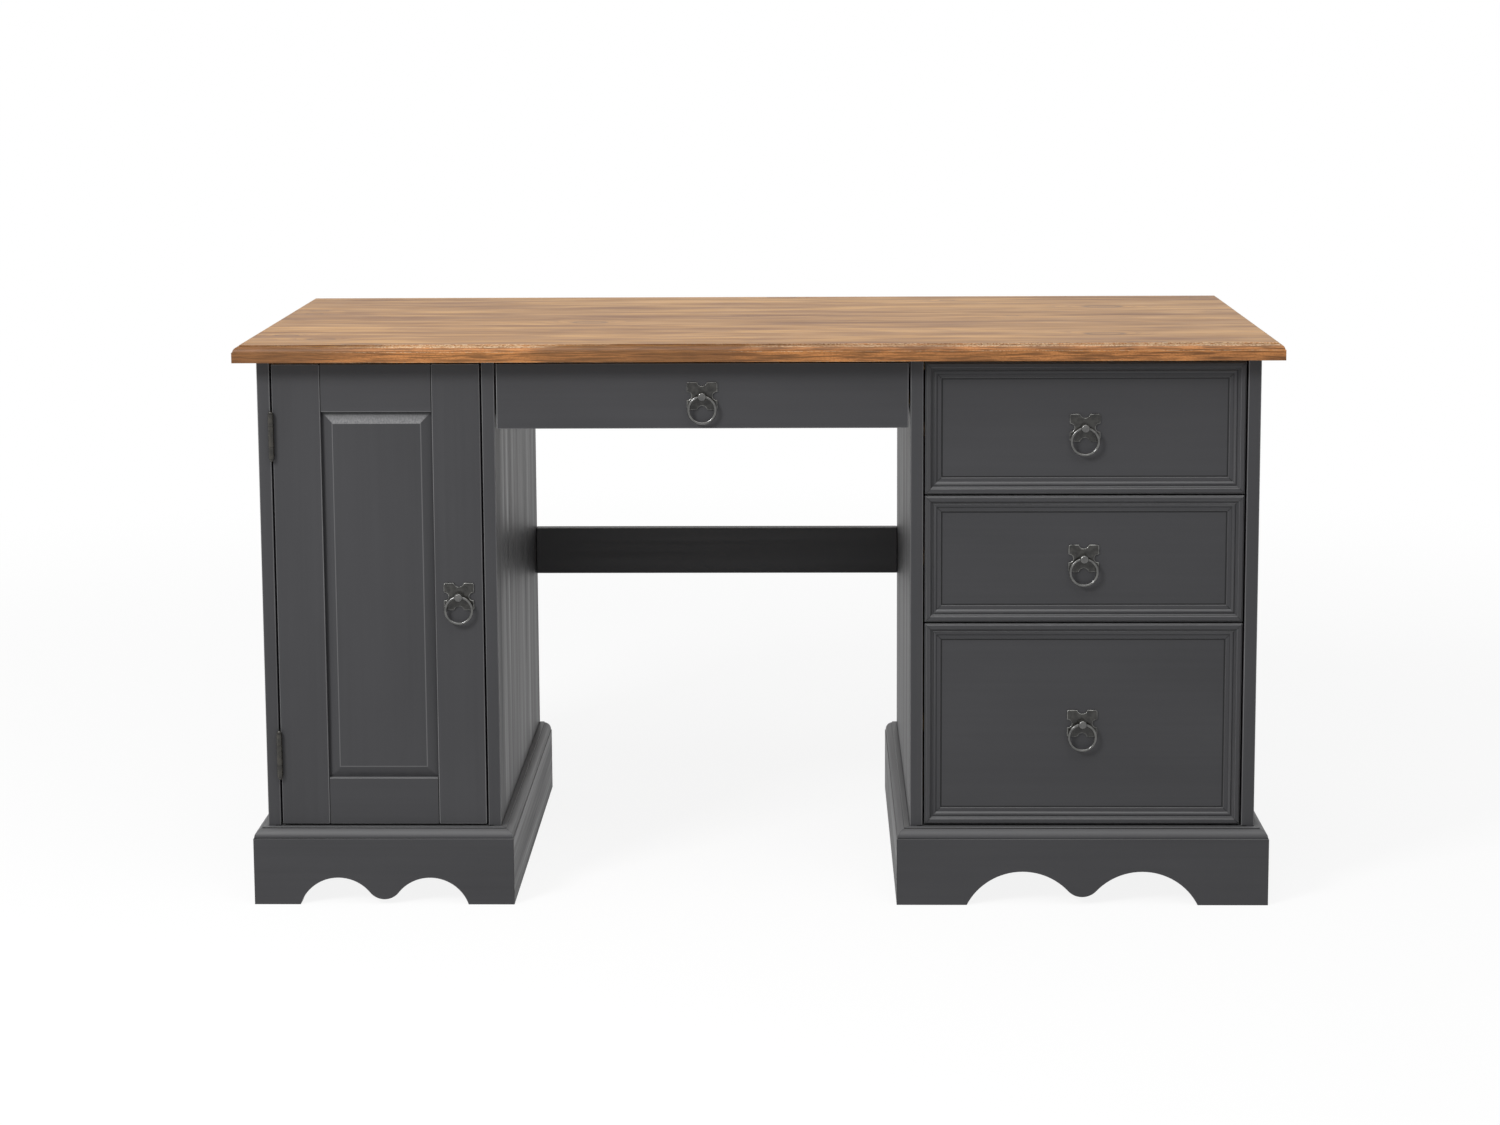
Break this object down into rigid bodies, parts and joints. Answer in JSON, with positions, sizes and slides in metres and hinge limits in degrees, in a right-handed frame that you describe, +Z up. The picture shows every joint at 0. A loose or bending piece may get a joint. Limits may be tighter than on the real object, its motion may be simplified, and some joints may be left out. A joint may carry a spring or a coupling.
{
  "type": "pedestal desk",
  "caption": "Painted pine computer desk: stained moulded top over a panelled cupboard, a kneehole with a pencil drawer, and a moulded drawer pedestal on scalloped plinths.",
  "frame": {"origin": "on the floor under the middle of the top", "axes": "+X to the right along the length, +Y to the back, +Z up; the drawers open towards -Y"},
  "size_m": [1.38, 0.6, 0.76],
  "materials": {
    "stained_pine": "stained and waxed",
    "grey_paint": "satin paint on pine",
    "bare_pine": "bare",
    "plywood": "bare",
    "dark_iron": "blackened",
    "zinc_steel": "zinc plated",
    "catch_plastic": "moulded"
  },
  "bodies": {
    "desk": {"cupboard_back": "grey_paint", "cupboard_floor": "grey_paint", "cupboard_inner_side": "grey_paint", "cupboard_outer_side": "grey_paint", "cupboard_plinth_front": "grey_paint", "cupboard_plinth_sides": "grey_paint", "cupboard_shelf": "grey_paint", "door_catch": "catch_plastic", "drawer_runners": "bare_pine", "drawer_unit_back": "grey_paint", "drawer_unit_floor": "grey_paint", "drawer_unit_inner_side": "grey_paint", "drawer_unit_outer_side": "grey_paint", "drawer_unit_plinth_front": "grey_paint", "drawer_unit_plinth_sides": "grey_paint", "hinge_frame_leaves": "dark_iron", "hinge_pins": "dark_iron", "rear_stretcher": "grey_paint", "shelf_pins": "zinc_steel", "top_panel": "stained_pine", "top_rails": "bare_pine", "top_screws": "zinc_steel"},
    "door_ring": {"door_pull_ring": "dark_iron"},
    "upper_drawer_ring": {"upper_drawer_pull_ring": "dark_iron"},
    "middle_drawer_ring": {"middle_drawer_pull_ring": "dark_iron"},
    "lower_drawer_ring": {"lower_drawer_pull_ring": "dark_iron"},
    "pencil_drawer_ring": {"pencil_drawer_pull_ring": "dark_iron"},
    "door": {"catch_plate": "zinc_steel", "door_bottom_rail": "grey_paint", "door_hinge_stile": "grey_paint", "door_lock_stile": "grey_paint", "door_panel": "grey_paint", "door_pull_plate": "dark_iron", "door_pull_post": "dark_iron", "door_top_rail": "grey_paint", "hinge_door_leaves": "dark_iron"},
    "lower_drawer": {"lower_drawer_bottom": "plywood", "lower_drawer_box": "bare_pine", "lower_drawer_front": "grey_paint", "lower_drawer_moulding": "grey_paint", "lower_drawer_pull_plate": "dark_iron", "lower_drawer_pull_post": "dark_iron"},
    "middle_drawer": {"middle_drawer_bottom": "plywood", "middle_drawer_box": "bare_pine", "middle_drawer_front": "grey_paint", "middle_drawer_moulding": "grey_paint", "middle_drawer_pull_plate": "dark_iron", "middle_drawer_pull_post": "dark_iron"},
    "pencil_drawer": {"pencil_drawer_bottom": "plywood", "pencil_drawer_box": "bare_pine", "pencil_drawer_front": "grey_paint", "pencil_drawer_pull_plate": "dark_iron", "pencil_drawer_pull_post": "dark_iron"},
    "upper_drawer": {"upper_drawer_bottom": "plywood", "upper_drawer_box": "bare_pine", "upper_drawer_front": "grey_paint", "upper_drawer_moulding": "grey_paint", "upper_drawer_pull_plate": "dark_iron", "upper_drawer_pull_post": "dark_iron"}
  },
  "joints": [
    {"name": "door_hinge", "type": "hinge", "parent": "desk", "child": "door", "pos_m": [-0.64475, -0.276, 0.41925], "axis": [0, 0, -1], "range_deg": [0, 170]},
    {"name": "door_ring_swing", "type": "hinge", "parent": "door", "child": "door_ring", "pos_m": [-0.3995, -0.2792, 0.41925], "axis": [-1, 0, 0], "range_deg": [-7, 140]},
    {"name": "upper_drawer_slide", "type": "slide", "parent": "desk", "child": "upper_drawer", "axis": [0, -1, 0], "range_m": [0, 0.35]},
    {"name": "upper_drawer_ring_swing", "type": "hinge", "parent": "upper_drawer", "child": "upper_drawer_ring", "pos_m": [0.4325, -0.2722, 0.644], "axis": [-1, 0, 0], "range_deg": [-7, 140]},
    {"name": "middle_drawer_slide", "type": "slide", "parent": "desk", "child": "middle_drawer", "axis": [0, -1, 0], "range_m": [0, 0.35]},
    {"name": "middle_drawer_ring_swing", "type": "hinge", "parent": "middle_drawer", "child": "middle_drawer_ring", "pos_m": [0.4325, -0.2722, 0.4685], "axis": [-1, 0, 0], "range_deg": [-7, 140]},
    {"name": "lower_drawer_slide", "type": "slide", "parent": "desk", "child": "lower_drawer", "axis": [0, -1, 0], "range_m": [0, 0.35]},
    {"name": "lower_drawer_ring_swing", "type": "hinge", "parent": "lower_drawer", "child": "lower_drawer_ring", "pos_m": [0.4325, -0.2722, 0.24375], "axis": [-1, 0, 0], "range_deg": [-7, 140]},
    {"name": "pencil_drawer_slide", "type": "slide", "parent": "desk", "child": "pencil_drawer", "axis": [0, -1, 0], "range_m": [0, 0.35]},
    {"name": "pencil_drawer_ring_swing", "type": "hinge", "parent": "pencil_drawer", "child": "pencil_drawer_ring", "pos_m": [-0.073, -0.2792, 0.6885], "axis": [-1, 0, 0], "range_deg": [-7, 140]}
  ]
}
